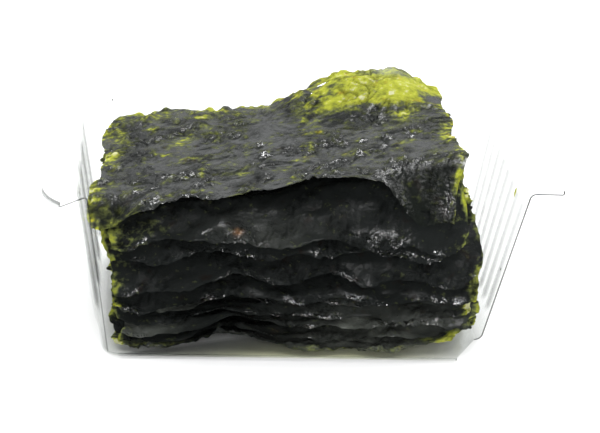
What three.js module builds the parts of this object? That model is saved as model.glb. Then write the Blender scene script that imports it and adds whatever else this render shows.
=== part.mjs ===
// Roasted seaweed snack: a loose stack of thin laver sheets in a clear tray whose front is cut away.
// Millimetres, +Z up. The origin is under the middle of the tray, on the surface that it stands on.
// +X is to the right of the cut front and +Y runs from the front to the back wall.

import * as THREE from 'three';

// Tray: the floor's outline, the walls that lean out from it and the flange round their top
const FLOOR_WIDTH = 88;
const FLOOR_DEPTH = 59;
const TRAY_HEIGHT = 41;
const WALL_SPREAD = 6.7;
const FLANGE_WIDTH = 7.3;
const LIP_HEIGHT = 1.3;
const PLASTIC = 0.6;
const FLOOR_FILLET = 2;
const FILLET_STEPS = 3;
const RIM_FILLET = 1.2;
const CORNER_AT_FLOOR = 3.5;
const CORNER_GROWTH = 0.64;
const CORNER_STEPS = 4;

// Upright ribs pressed outwards into the walls, each with a flat middle third
const SIDE_RIBS = 8;
const BACK_RIBS = 12;
const RIB_STEPS = 3;
const RIB_DEPTH = 0.7;
const RIB_FOOT = 5.5;
const RIB_HEAD = 38;
const RIB_FADE = 2.5;

// Where the front was cut away: the right wall on a slant, the left one through its rounded corner
const RIGHT_CUT_AT_FLOOR = -17.4;
const RIGHT_CUT_LEAN = -0.238;
const LEFT_CUT = 0.53;
const FRONT_CUT_END = 36.6;
const FRONT_STEPS = 12;
const FRONT_LIP_ROWS = 2;

// Seaweed sheets, counted from the bottom
const SHEET_COUNT = 12;
const TOP = SHEET_COUNT - 1;
const SHEET_WIDTH = 83.8;
const UPPER_WIDTH = 81;
const NARROW_FROM = [0.6, 1];
const TOP_WIDTH = 84;
const SHEET_DEPTH = 54;
const SHEET_THICKNESS = 0.6;

// Each sheet's columns and rows, the rows that its bent front takes, and the front's part of its depth
const SHEET_GRID = { columns: 13, rows: 11, frontRows: 6 };
const TOP_GRID = { columns: 22, rows: 14, frontRows: 5 };
const FRONT_SHARE = 0.28;

// How the stack leans: the upper sheets slid to the left, and the pile is higher on the right
const LOWER_SHIFT = -0.2;
const UPPER_SHIFT = -4.4;
const UPPER_FROM = [0.3, 1];
const TOP_SHIFT = -6;
const TOP_SLIDE = 0.9;
const SIDE_SPREAD = 0.35;
const SLIDE_MEAN = -0.4;
const SLIDE_SPREAD = 0.9;
const TURN_SPREAD = 0.011;
const STACK_HEIGHT = 41;
const STACK_SLOPE = 0.145;
const BED_HEIGHT = 1.9;
const BED_EDGE_RISE = 1.6;
const BED_EDGE = [36, 43];
const BED_RIGHT_RISE = 4.5;
const BED_RIGHT = [18, 42];

// The raised wave at the back right of the upper sheets, and the lower rise at the back left
const CREST_HEIGHT = 6.6;
const CREST_LEFT = [-9, 13];
const CREST_RIGHT = [23, 37];
const CREST_BACK = [8, 25];
const BACK_LEFT_RISE = 1.8;
const BACK_LEFT_REACH = [-34, -4];
const BACK_LEFT_DEPTH = [0, 27];

// The front of the pile, where the sheets bend down over each other
const BEND = [17, 31];
const FRONT_EDGE = 27.5;
const FLAP_EDGE = 28;
const FLAP_RIPPLE = 0.7;
const FLAP_RIPPLE_LENGTH = 29;
const FLAP_DIP = 2;
const FLAP_DIP_AT = 32;
const FLAP_DIP_REACH = 5;
const FLAP_LEFT_DROOP = 2.5;
const FLAP_LEFT_FROM = [34, 45];
const FRONT_BED = 1.2;
const FRONT_LIFT = 4.4;
const FRONT_LIFT_AT = -15;
const FRONT_LIFT_REACH = 9;
const FRONT_LEFT_LIFT = 0.2;
const FRONT_RIGHT_LIFT = 4;
const FRONT_RIGHT_FROM = [18, 42];
const FRONT_PAIRING = 0.42;
const FRONT_WAVE_SHARE = 0.12;
const FRONT_WAVE_LENGTH = 37;
const FRONT_CROWDING = 0.45;
const FRONT_CROWDED = [-5, 40];
const RIGHT_CROWDING = 0.35;
const RIGHT_CROWDED = [22, 42];
const TOP_EDGE_SAG = 1.2;
const TOP_EDGE_RISE = 3.4;
const TOP_EDGE_RISE_AT = 0;
const TOP_EDGE_RISE_REACH = 13;
const TOP_EDGE_RIPPLE = 0.9;
const TOP_EDGE_RIPPLE_LENGTH = 33;
const TOP_CORNER_DROOP = 7;
const TOP_CORNER = [36, 46];
const TOP_RIGHT_DROOP = 14.5;
const TOP_RIGHT_CORNER = [16, 29];
const FRONT_RECESS = 2.8;

// How unevenly the sheets lie on each other: long waves, as a part of the mean spacing
const WAVE_SHARE = 0.55;
const WAVE_LENGTH_X = 57;
const WAVE_LENGTH_Y = 43;
const GOLDEN = 0.618034;
const KIND_STEP = 0.37;

// Uneven outlines: waves along the four sides, rounded corners, a step in the top sheet's left side
// and, on each lower sheet, how far its right front corner reaches out
const EDGE_WAVE = 0.55;
const SIDE_WAVES = 9;
const END_WAVES = 14;
const EDGE_POWER = 4;
const CORNER_ROUND = 0.035;
const CORNER_POWER = 8;
const LEFT_STEP = 3;
const LEFT_STEP_AT = [-13, -9];
const RIGHT_FLARES = [-3, 0, 0, 0, 0, 1, 3, 1.5, 0.5, 0.5, 1.5];
const RIGHT_FLARE_FROM = [0.72, 1];
const BACK_LEFT_ROUND = 0.05;
const BACK_LEFT_POWER = 5;

const PLASTIC_COLOUR = 0xeef2f0;
const SEAWEED_COLOUR = 0x1d2318;
const TOP_SHEET_COLOUR = 0x3a4038;

const { lerp, clamp } = THREE.MathUtils;
const QUARTER_TURN = Math.PI / 2;
const FULL_TURN = Math.PI * 2;

function rising(value, [from, to]) {
  return THREE.MathUtils.smoothstep(value, from, to);
}

function bump(value, centre, reach) {
  const step = (value - centre) / reach;
  return Math.exp(-step * step);
}

// A different phase for each sheet and each kind of wave
function phase(sheet, kind) {
  return FULL_TURN * ((sheet * GOLDEN + kind * KIND_STEP) % 1);
}

// Two triangles for each cell of a grid of points that is stored row by row
function gridTriangles(columns, rows) {
  const triangles = [];
  const stride = columns + 1;
  for (let row = 0; row < rows; row += 1) {
    for (let column = 0; column < columns; column += 1) {
      const corner = column + row * stride;
      triangles.push([corner, corner + 1, corner + stride + 1]);
      triangles.push([corner, corner + stride + 1, corner + stride]);
    }
  }
  return triangles;
}

// Closes an open surface and its offset copy into one thin solid, with both faces split alike
function thicken(outside, inside, triangles) {
  const count = outside.length;
  const index = [];
  const openEdges = new Map();
  for (const [a, b, c] of triangles) {
    index.push(a, b, c, count + a, count + c, count + b);
    for (const [from, to] of [[a, b], [b, c], [c, a]]) {
      if (!openEdges.delete(`${to},${from}`)) {
        openEdges.set(`${from},${to}`, [from, to]);
      }
    }
  }
  for (const [from, to] of openEdges.values()) {
    index.push(to, from, count + from, to, count + from, count + to);
  }
  const geometry = new THREE.BufferGeometry().setFromPoints([...outside, ...inside]);
  geometry.setIndex(index);
  geometry.computeVertexNormals();
  return geometry;
}

// The wall's outer face from the floor to the lip: steps outwards and up, with the ribs' strength
function wallProfile() {
  const lean = Math.atan2(WALL_SPREAD, TRAY_HEIGHT);
  const inset = Math.tan((QUARTER_TURN - lean) / 2);
  const steps = [];
  for (let i = 0; i <= FILLET_STEPS; i += 1) {
    const turn = lerp(-QUARTER_TURN, -lean, i / FILLET_STEPS);
    const out = FLOOR_FILLET * (Math.cos(turn) - inset);
    steps.push({ out, up: FLOOR_FILLET * (1 + Math.sin(turn)), rib: 0 });
  }
  const ribEnds = [[RIB_FOOT, 0], [RIB_FOOT + RIB_FADE, 1], [RIB_HEAD - RIB_FADE, 1], [RIB_HEAD, 0]];
  for (const [up, rib] of ribEnds) {
    steps.push({ out: up * Math.tan(lean), up, rib });
  }
  const rimCentre = WALL_SPREAD + RIM_FILLET * inset;
  for (const turn of [Math.PI - lean, QUARTER_TURN]) {
    const out = rimCentre + RIM_FILLET * Math.cos(turn);
    steps.push({ out, up: TRAY_HEIGHT - RIM_FILLET * (1 - Math.sin(turn)), rib: 0 });
  }
  steps.push({ out: WALL_SPREAD + FLANGE_WIDTH, up: TRAY_HEIGHT, rib: 0 });
  steps.push({ out: WALL_SPREAD + FLANGE_WIDTH, up: TRAY_HEIGHT + LIP_HEIGHT, rib: 0 });
  return steps;
}

// The same profile on the plastic's inner face, moved along the mean normal of each step's two sides
function innerProfile(steps) {
  return steps.map((step, i) => {
    const before = i > 0 ? steps[i - 1] : { out: step.out - 1, up: step.up };
    const after = i < steps.length - 1 ? steps[i + 1] : { out: step.out, up: step.up + 1 };
    const first = new THREE.Vector2(before.up - step.up, step.out - before.out).normalize();
    const second = new THREE.Vector2(step.up - after.up, after.out - step.out).normalize();
    const normal = first.clone().add(second).normalize();
    const reach = PLASTIC / normal.dot(first);
    return { out: step.out + normal.x * reach, up: step.up + normal.y * reach, rib: step.rib };
  });
}

function ribShape(along, ribs) {
  const step = (along * ribs) % 1;
  return clamp(RIB_STEPS * Math.min(step, 1 - step), 0, 1);
}

// A point of the tray, at one station of its plan and one step of its profile
function trayPoint({ side, along }, { out, up, rib }) {
  const radius = CORNER_AT_FLOOR + CORNER_GROWTH * out;
  const halfX = FLOOR_WIDTH / 2 + out - radius;
  const halfY = FLOOR_DEPTH / 2 + out - radius;
  const ribs = side === 'back' ? BACK_RIBS : SIDE_RIBS;
  const wall = radius + RIB_DEPTH * rib * ribShape(along, ribs);
  const corner = (x, y, from) => {
    const turn = from + along * QUARTER_TURN;
    return new THREE.Vector3(x + radius * Math.cos(turn), y + radius * Math.sin(turn), up);
  };
  switch (side) {
    case 'right': {
      const cut = Math.max(RIGHT_CUT_AT_FLOOR + RIGHT_CUT_LEAN * up, -halfY);
      return new THREE.Vector3(halfX + wall, lerp(cut, halfY, along), up);
    }
    case 'backRight': return corner(halfX, halfY, 0);
    case 'back': return new THREE.Vector3(lerp(halfX, -halfX, along), halfY + wall, up);
    case 'backLeft': return corner(-halfX, halfY, QUARTER_TURN);
    case 'left': return new THREE.Vector3(-halfX - wall, lerp(halfY, -halfY, along), up);
    case 'frontLeft': return corner(-halfX, -halfY, Math.PI);
    default: return new THREE.Vector3(lerp(-halfX, FRONT_CUT_END, along), -halfY - radius, up);
  }
}

// Stations along one side of the plan, without the last, which starts the next side
function stations(side, steps, from = 0, to = 1) {
  return Array.from({ length: steps }, (_, i) => ({ side, along: lerp(from, to, i / steps) }));
}

// The tray is one thin shell: the walls up to the flange, a low lip along the front, and the floor
function trayGeometry() {
  const outerSteps = wallProfile();
  const innerSteps = innerProfile(outerSteps);
  const wall = [
    ...stations('right', RIB_STEPS * SIDE_RIBS),
    ...stations('backRight', CORNER_STEPS),
    ...stations('back', RIB_STEPS * BACK_RIBS),
    ...stations('backLeft', CORNER_STEPS),
    ...stations('left', RIB_STEPS * SIDE_RIBS),
    ...stations('frontLeft', CORNER_STEPS / 2, 0, LEFT_CUT),
    { side: 'frontLeft', along: LEFT_CUT },
  ];
  const front = [
    ...stations('frontLeft', CORNER_STEPS / 2, LEFT_CUT, 1).slice(1),
    ...stations('front', FRONT_STEPS),
    { side: 'front', along: 1 },
  ];
  const rows = outerSteps.length - 1;
  const outside = [];
  const inside = [];
  const addRow = (row, line) => {
    for (const station of line) {
      outside.push(trayPoint(station, outerSteps[row]));
      inside.push(trayPoint(station, innerSteps[row]));
    }
  };
  for (let row = 0; row <= rows; row += 1) {
    addRow(row, wall);
  }
  const triangles = gridTriangles(wall.length - 1, rows);

  // The front lip starts at the wall's last station, so its column -1 is that one
  const firstFront = outside.length;
  for (let row = 0; row <= FRONT_LIP_ROWS; row += 1) {
    addRow(row, front);
  }
  const lipPoint = (column, row) => {
    const ownPoint = firstFront + column + row * front.length;
    return column < 0 ? wall.length - 1 + row * wall.length : ownPoint;
  };
  for (let row = 0; row < FRONT_LIP_ROWS; row += 1) {
    for (let column = -1; column < front.length - 1; column += 1) {
      const low = lipPoint(column, row);
      const high = lipPoint(column + 1, row + 1);
      triangles.push([low, lipPoint(column + 1, row), high], [low, high, lipPoint(column, row + 1)]);
    }
  }

  // The floor fills the lowest row; its right front corner is cut off straight
  const floorLoop = [...wall.keys(), ...front.map((_, column) => lipPoint(column, 0))];
  const outline = floorLoop.map((point) => new THREE.Vector2(outside[point].x, outside[point].y));
  for (const [a, b, c] of THREE.ShapeUtils.triangulateShape(outline, [])) {
    triangles.push([floorLoop[a], floorLoop[c], floorLoop[b]]);
  }
  return thicken(outside, inside, triangles);
}

// Top of the pile: higher on the right, with the wave's crest at the back right
function topHeight(x, y) {
  const crest = rising(x, CREST_LEFT) * (1 - rising(x, CREST_RIGHT)) * rising(y, CREST_BACK);
  const backLeft = rising(y, BACK_LEFT_DEPTH) * (1 - rising(x, BACK_LEFT_REACH));
  return STACK_HEIGHT + STACK_SLOPE * x + CREST_HEIGHT * crest + BACK_LEFT_RISE * backLeft;
}

// Underneath: the lowest sheet lies on the floor and its ends rise from it, the right one the most
function bedHeight(x) {
  return BED_HEIGHT + BED_EDGE_RISE * rising(-x, BED_EDGE) + BED_RIGHT_RISE * rising(x, BED_RIGHT);
}

// The part of a height that lies under a sheet, where each sheet up to the last takes its own part
function shareBelow(sheet, last, partOf) {
  let below = 0;
  let all = 0;
  for (let k = 1; k <= last; k += 1) {
    all += partOf(k);
    below += k <= sheet ? partOf(k) : 0;
  }
  return below / all;
}

// Height of a sheet's front edge: the lowest is lifted in two places, and the flaps hang in pairs
function frontHeight(sheet, x) {
  if (sheet === TOP) {
    const ripple = TOP_EDGE_RIPPLE * Math.sin(FULL_TURN * x / TOP_EDGE_RIPPLE_LENGTH);
    const droop = TOP_CORNER_DROOP * rising(-x, TOP_CORNER) + TOP_RIGHT_DROOP * rising(x, TOP_RIGHT_CORNER);
    const rise = TOP_EDGE_RISE * bump(x, TOP_EDGE_RISE_AT, TOP_EDGE_RISE_REACH);
    return topHeight(x, -FRONT_EDGE) - TOP_EDGE_SAG + rise + ripple - droop;
  }
  const lift = FRONT_LIFT * bump(x, FRONT_LIFT_AT, FRONT_LIFT_REACH);
  const ends = FRONT_RIGHT_LIFT * rising(x, FRONT_RIGHT_FROM) + FRONT_LEFT_LIFT * rising(-x, BED_EDGE);
  const ripple = FLAP_RIPPLE * Math.sin(FULL_TURN * x / FLAP_RIPPLE_LENGTH);
  const dips = FLAP_DIP * bump(x, FLAP_DIP_AT, FLAP_DIP_REACH) + FLAP_LEFT_DROOP * rising(-x, FLAP_LEFT_FROM);
  const high = FLAP_EDGE + ripple - dips;
  const partOf = (k) => {
    const wave = FRONT_WAVE_SHARE * Math.sin(FULL_TURN * x / FRONT_WAVE_LENGTH + phase(k, 3));
    const pairing = k % 2 === 0 ? FRONT_PAIRING : -FRONT_PAIRING;
    return 1 + (k > 1 ? pairing : 0) + wave;
  };
  const crowding = FRONT_CROWDING * rising(-x, FRONT_CROWDED) + RIGHT_CROWDING * rising(x, RIGHT_CROWDED);
  return lerp(FRONT_BED + lift + ends, high, shareBelow(sheet, TOP - 1, partOf) ** (1 + crowding));
}

// Middle of a sheet's thickness above any point of the plan; no sheet ever meets the next
function sheetHeight(sheet, x, y) {
  const partOf = (k) => 1 + WAVE_SHARE * Math.sin(FULL_TURN * x / WAVE_LENGTH_X + phase(k, 1))
    * Math.cos(FULL_TURN * y / WAVE_LENGTH_Y + phase(k, 2));
  const lying = lerp(bedHeight(x), topHeight(x, y), shareBelow(sheet, TOP, partOf));
  const bend = rising(-y, BEND) / rising(FRONT_EDGE, BEND);
  return lerp(lying, frontHeight(sheet, x), bend);
}

// Where a sheet's point lies in plan, for p and q from -1 to 1 across and along the sheet
function sheetPlan(sheet, p, q) {
  const upper = rising(sheet / TOP, UPPER_FROM);
  const isTop = sheet === TOP;
  const narrow = rising(sheet / TOP, NARROW_FROM);
  const width = isTop ? TOP_WIDTH : lerp(SHEET_WIDTH, UPPER_WIDTH, narrow);
  const spread = SIDE_SPREAD * Math.sin(phase(sheet, 8));
  const shift = isTop ? TOP_SHIFT : lerp(LOWER_SHIFT, UPPER_SHIFT, upper) + spread;
  const slide = isTop ? TOP_SLIDE : SLIDE_MEAN + SLIDE_SPREAD * Math.sin(phase(sheet, 4));
  const turn = TURN_SPREAD * Math.sin(phase(sheet, 5));
  const sideWave = EDGE_WAVE * Math.sin(SIDE_WAVES * q + phase(sheet, 6)) * p ** EDGE_POWER;
  const endWave = EDGE_WAVE * Math.sin(END_WAVES * p + phase(sheet, 7)) * q ** EDGE_POWER;
  const backLeft = isTop && q > 0 ? BACK_LEFT_ROUND * Math.max(-p * q, 0) ** BACK_LEFT_POWER : 0;
  const round = 1 - CORNER_ROUND * (p * q) ** CORNER_POWER - backLeft;
  const isHidden = sheet % 2 === 0 && sheet < TOP - 1;
  const recess = isHidden && q < 0 ? FRONT_RECESS * sheet / TOP : 0;
  const y = (SHEET_DEPTH / 2 - recess) * q * round + endWave;
  const leftStep = isTop && p < 0 ? LEFT_STEP * rising(y, LEFT_STEP_AT) : 0;
  const rightFlare = !isTop && p > 0 ? RIGHT_FLARES[sheet] * rising(-q, RIGHT_FLARE_FROM) : 0;
  const x = width / 2 * p * round + sideWave + (leftStep + rightFlare) * p ** EDGE_POWER;
  return { x: x - turn * y + shift, y: y + turn * x + slide };
}

// Where a row of a sheet's grid lies along it, from -1 at the front to 1 at the back
function rowPlace(row, { rows, frontRows }) {
  const behind = 2 * FRONT_SHARE - 1;
  if (row < frontRows) {
    return lerp(-1, behind, row / frontRows);
  }
  return lerp(behind, 1, (row - frontRows) / (rows - frontRows));
}

function sheetGeometry(sheet) {
  const grid = sheet === TOP ? TOP_GRID : SHEET_GRID;
  const { columns, rows } = grid;
  const upper = [];
  const lower = [];
  for (let row = 0; row <= rows; row += 1) {
    for (let column = 0; column <= columns; column += 1) {
      const { x, y } = sheetPlan(sheet, 2 * column / columns - 1, rowPlace(row, grid));
      const z = sheetHeight(sheet, x, y);
      upper.push(new THREE.Vector3(x, y, z + SHEET_THICKNESS / 2));
      lower.push(new THREE.Vector3(x, y, z - SHEET_THICKNESS / 2));
    }
  }
  return thicken(upper, lower, gridTriangles(columns, rows));
}

const snack = new THREE.Group();

const clearPlastic = new THREE.MeshStandardMaterial({
  color: PLASTIC_COLOUR, roughness: 0.12, metalness: 0, transparent: true, opacity: 0.35,
});
const tray = new THREE.Mesh(trayGeometry(), clearPlastic);
tray.name = 'tray';
snack.add(tray);

for (let sheet = 0; sheet < SHEET_COUNT; sheet += 1) {
  const colour = sheet === TOP ? TOP_SHEET_COLOUR : SEAWEED_COLOUR;
  const seaweed = new THREE.MeshStandardMaterial({ color: colour, roughness: 0.4, metalness: 0 });
  const leaf = new THREE.Mesh(sheetGeometry(sheet), seaweed);
  leaf.name = `sheet_${String(sheet + 1).padStart(2, '0')}`;
  snack.add(leaf);
}

// The tray's outline sets the middle of the part
const outline = new THREE.Box3().setFromObject(tray);
snack.position.y = -(outline.min.y + outline.max.y) / 2;

export default snack;
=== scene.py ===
import math

import bpy
import numpy as np
from mathutils import Matrix, Vector


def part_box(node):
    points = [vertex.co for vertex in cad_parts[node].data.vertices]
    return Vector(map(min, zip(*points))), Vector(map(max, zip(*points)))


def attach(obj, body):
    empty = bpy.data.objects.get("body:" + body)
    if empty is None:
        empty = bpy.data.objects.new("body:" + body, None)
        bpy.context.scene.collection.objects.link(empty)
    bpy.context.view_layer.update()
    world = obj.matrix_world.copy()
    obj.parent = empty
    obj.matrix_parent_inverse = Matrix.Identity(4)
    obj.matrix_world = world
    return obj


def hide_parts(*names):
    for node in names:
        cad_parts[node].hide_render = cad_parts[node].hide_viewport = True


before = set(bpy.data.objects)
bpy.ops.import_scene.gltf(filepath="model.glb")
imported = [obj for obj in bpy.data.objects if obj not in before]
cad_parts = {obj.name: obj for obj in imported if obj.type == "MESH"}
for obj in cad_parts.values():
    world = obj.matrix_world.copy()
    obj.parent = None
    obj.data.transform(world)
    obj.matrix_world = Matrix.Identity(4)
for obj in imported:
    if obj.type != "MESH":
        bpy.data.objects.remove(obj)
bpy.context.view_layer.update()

# Sizes are in millimetres and become metres when a mesh is made; lights and materials are in metres

MM = 0.001
FULL_TURN = 2 * math.pi
QUARTER_TURN = math.pi / 2

# Tray: the floor's outline, the walls that lean out from it and the flange round their top
FLOOR_WIDTH = 88
FLOOR_DEPTH = 59
TRAY_HEIGHT = 41
WALL_SPREAD = 6.7
FLANGE_WIDTH = 7.3
LIP_HEIGHT = 1.3
PLASTIC = 0.35
FLOOR_FILLET = 2
FLOOR_FILLET_STEPS = 8
RIM_FILLET = 1.2
RIM_FILLET_STEPS = 6
LIP_FILLET = 0.5
LIP_FILLET_STEPS = 3
CORNER_AT_FLOOR = 3.5
CORNER_GROWTH = 0.64
CORNER_STEPS = 16

# Upright ribs pressed outwards into the walls, each with a flat middle third
SIDE_RIBS = 8
BACK_RIBS = 12
RIB_STEPS = 12
RIB_DEPTH = 0.7
RIB_FOOT = 5.5
RIB_HEAD = 38
RIB_FADE = 2.5
RIB_SLOPE = 1 / 3
WALL_STEPS = 14
TRAY_FLAT_ANGLE = math.radians(35)

# Painted shade in the clear plastic by the floor and at the lip's left corner, a painted shadow along the
# front, and where oil lies
FOOT_SHADE = 0.3
FRONT_SHADOW = 0.3
FRONT_SHADOW_FADE = (0.1, 0.5)
LIP_SHADE = 0.8
OILY_FLOOR = (-42, -10, 12, 40)

# Painted grey stripes along each wall's ribs, for the dark lines that their flanks show: how many, where each
# rises and falls, its shade, and its fading upwards
STRIPES = {"left": SIDE_RIBS / 2, "back": BACK_RIBS, "right": SIDE_RIBS}
STRIPE = {"left": (0.3, 0.85, 0.88, 1.0), "back": (0.3, 0.85, 0.88, 1.0), "right": (0.48, 0.9, 0.9, 1.0)}
STRIPE_SHADE = {"left": 0.9, "back": 0.3, "right": 0.68}
STRIPE_FADE = (14, 38)
STRIPE_FADED = {"left": 0.85, "back": 0.5, "right": 0.9}

# Where the front was cut away: the right wall on a slant, the left one through its rounded corner
RIGHT_CUT_AT_FLOOR = -17.4
RIGHT_CUT_LEAN = -0.238
LEFT_CUT = 0.53
FRONT_CUT_END = 36.6
FRONT_STEPS = 40
FRONT_LIP_HEIGHT = 1.0

# Seaweed sheets, counted from 0 at the bottom
SHEET_COUNT = 12
TOP = SHEET_COUNT - 1
SHEET_WIDTH = 83.8
UPPER_WIDTH = 81
NARROW_FROM = (0.6, 1)
TOP_WIDTH = 84
SHEET_DEPTH = 54
LEAF = 0.22
LEAF_FLAT_ANGLE = math.radians(60)
LOWER_GRID = (155, 100)
TOP_GRID = (260, 170)

# How the stack leans: the upper sheets slid to the left, and the pile is higher on the right
LOWER_SHIFT = -0.2
UPPER_SHIFT = -4.4
UPPER_FROM = (0.3, 1)
TOP_SHIFT = -6
TOP_SLIDE = 0.9
SIDE_SPREAD = 0.35
SLIDE_MEAN = -0.4
SLIDE_SPREAD = 0.9
TURN_SPREAD = 0.011
STACK_HEIGHT = 41
STACK_SLOPE = 0.145
BED_HEIGHT = 1.9
BED_EDGE_RISE = 1.6
BED_EDGE = (36, 43)
BED_RIGHT_RISE = 4.5
BED_RIGHT = (18, 42)

# The raised wave at the back right of the upper sheets, and the lower rise at the back left
CREST_HEIGHT = 6.6
CREST_LEFT = (-9, 13)
CREST_RIGHT = (23, 37)
CREST_BACK = (8, 25)
BACK_LEFT_RISE = 1.8
BACK_LEFT_REACH = (-34, -4)
BACK_LEFT_DEPTH = (0, 27)

# The front of the pile, where the sheets bend down over each other
BEND = (17, 31)
FRONT_EDGE = 27.5
FLAP_EDGE = 28
FLAP_RIPPLE = 0.7
FLAP_RIPPLE_LENGTH = 29
FLAP_DIP = 2
FLAP_DIP_AT = 32
FLAP_DIP_REACH = 5
FLAP_LEFT_DROOP = 2.5
FLAP_LEFT_FROM = (34, 45)
FRONT_BED = 1.2
FRONT_LIFT = 4.4
FRONT_LIFT_AT = -15
FRONT_LIFT_REACH = 9
FRONT_LEFT_LIFT = 0.2
FRONT_RIGHT_LIFT = 4
FRONT_RIGHT_FROM = (18, 42)
FRONT_PAIRING = 0.42
FRONT_WAVE_SHARE = 0.12
FRONT_WAVE_LENGTH = 37
FRONT_CROWDING = 0.45
FRONT_CROWDED = (-5, 40)
RIGHT_CROWDING = 0.35
RIGHT_CROWDED = (22, 42)
TOP_EDGE_SAG = 1.2
TOP_EDGE_RISE = 3.4
TOP_EDGE_RISE_AT = 0
TOP_EDGE_RISE_REACH = 13
TOP_EDGE_RIPPLE = 0.9
TOP_EDGE_RIPPLE_LENGTH = 33
TOP_CORNER_DROOP = 7
TOP_CORNER = (36, 46)
TOP_RIGHT_DROOP = 14.5
TOP_RIGHT_CORNER = (16, 29)
FRONT_RECESS = 2.8

# How unevenly the sheets lie on each other: long waves, as a part of the mean spacing
WAVE_SHARE = 0.55
WAVE_LENGTH_X = 57
WAVE_LENGTH_Y = 43
GOLDEN = 0.618034
KIND_STEP = 0.37
WAVE_KINDS = ["", "across", "along", "front", "slide", "turn", "side", "end", "shift", "thin"]

# Uneven outlines: waves along the four sides, rounded corners, a step in the top sheet's left side
# and, on each lower sheet, how far its right front corner reaches out
EDGE_WAVE = 0.55
SIDE_WAVES = 9
END_WAVES = 14
EDGE_POWER = 4
CORNER_ROUND = 0.035
CORNER_POWER = 8
LEFT_STEP = 3
LEFT_STEP_AT = (-13, -9)
RIGHT_FLARES = [-3, 0, 0, 0, 0, 1, 3, 1.5, 0.5, 0.5, 1.5]
RIGHT_FLARE_FROM = (0.72, 1)
BACK_LEFT_ROUND = 0.05
BACK_LEFT_POWER = 5

# A lobe that stands out from the top sheet's right side: its size, place and reach
LOBE = (1.5, -18, 3)

# Torn edges: broad bites, teeth and fuzz, as depth and length along the edge
BITES = (1.2, 8)
TEETH = (0.9, 2.8)
FUZZ = (0.35, 0.9)
INWARDS = 0.35
TEETH_INWARDS = 0.4
TORN_LEFT = 0.25
TORN_RIGHT = 0.35
TORN_BAND = 0.88
TORN_FRONT = 0.45
KNIFE_EDGE = (0, 1.2)
KNIFE_SHARE = 0.12

# Wrinkles: height, then length across and along the sheet, and where the leaf is creased
LONG_WRINKLES = (0.4, 9, 4)
RIDGES = (0.95, 3.2, 2.7)
CRINKLES = (0.45, 1.5, 1.4)
CREASES = (0.1, 0.9, 0.8)
CALM = 0.3
FURROW = 0.11
FINE_FURROWS = 0.7
CALM_FURROWS = 0.15
SLANT = math.radians(24)
CREASED_LAYERS = [(1, 11, 8), (0.6, 4, 3)]
CREASED_FROM = (-0.3, 0.5)
WARP = (2.6, 7)
TUFTS = (1.3, 1.9)
TUFTED = [(2, 9), (-17, 4), (-33, 4)]
TUFTS_ELSEWHERE = 0.25
FRONT_CRUMPLE = (0.7, 7, 3)
FRONT_CRUMPLE_FROM = (14, 24)
CRUMPLE_STEP = 0.4

# Where the top sheet bends down it shines less: how far it has sunk, and the part of its shine that is left
SUNK = (0.3, 2.2)
SUNK_SHEEN = 0.1

# Crumpled places where oil glints: sheet, place, then reach across and along
CRUMPLED = [
    (11, 8, -1.7, 4.5, 1),
    (11, 15, -2, 1.5, 0.8),
    (11, 20, -3, 3.5, 0.9),
    (11, 24.5, -4, 2, 0.8),
    (11, 29, 5.4, 0.8, 0.6),
    (11, 19.6, 9.4, 1.2, 0.8),
    (11, 13, -11, 1.2, 0.8),
    (11, 20, -17, 2, 0.8),
    (11, 2, -22, 4, 1.5),
    (11, 8.4, -20, 0.8, 0.6),
    (11, -8, -5, 2.5, 1),
    (11, -9, 1, 2, 0.8),
    (11, -23, -19, 3, 1.2),
    (11, -27, -12, 4, 1.2),
    (11, -34, -5, 1.5, 0.8),
    (11, -39, 14, 1.2, 0.8),
    (11, -39, -19, 2.5, 1),
    (11, -34.5, -23, 3, 1.4),
    (11, -30, -25.5, 4, 1),
    (11, 33, -24, 1.5, 1.5),
    (11, 28, -26.8, 5, 0.6),
    (10, 18, -26.8, 5, 1.2),
    (10, -16, -26.8, 5, 1.2),
    (8, -18, -27, 9, 1.5),
    (8, 4, -27, 5, 1.2),
    (8, 18, -27, 6, 1.2),
    (6, -37, -26.5, 4, 1.5),
    (6, -28, -27, 5, 1.2),
    (4, -35, -27, 8, 1.5),
    (4, -10, -26, 8, 1.5),
    (2, 24, -26, 8, 2),
    (0, -15, -27, 7, 1.5),
    (0, -37, -27, 4, 1.5),
    (0, 15, -27, 12, 1.5),
]

# Oily stretches of the front edges: how far from the edge they fade, and their length and strength along it
EDGE_OIL_FADE = (0.3, 1.4)
EDGE_OIL_LENGTH = 6
EDGE_OIL_FROM = (0.0, 0.3)

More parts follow.
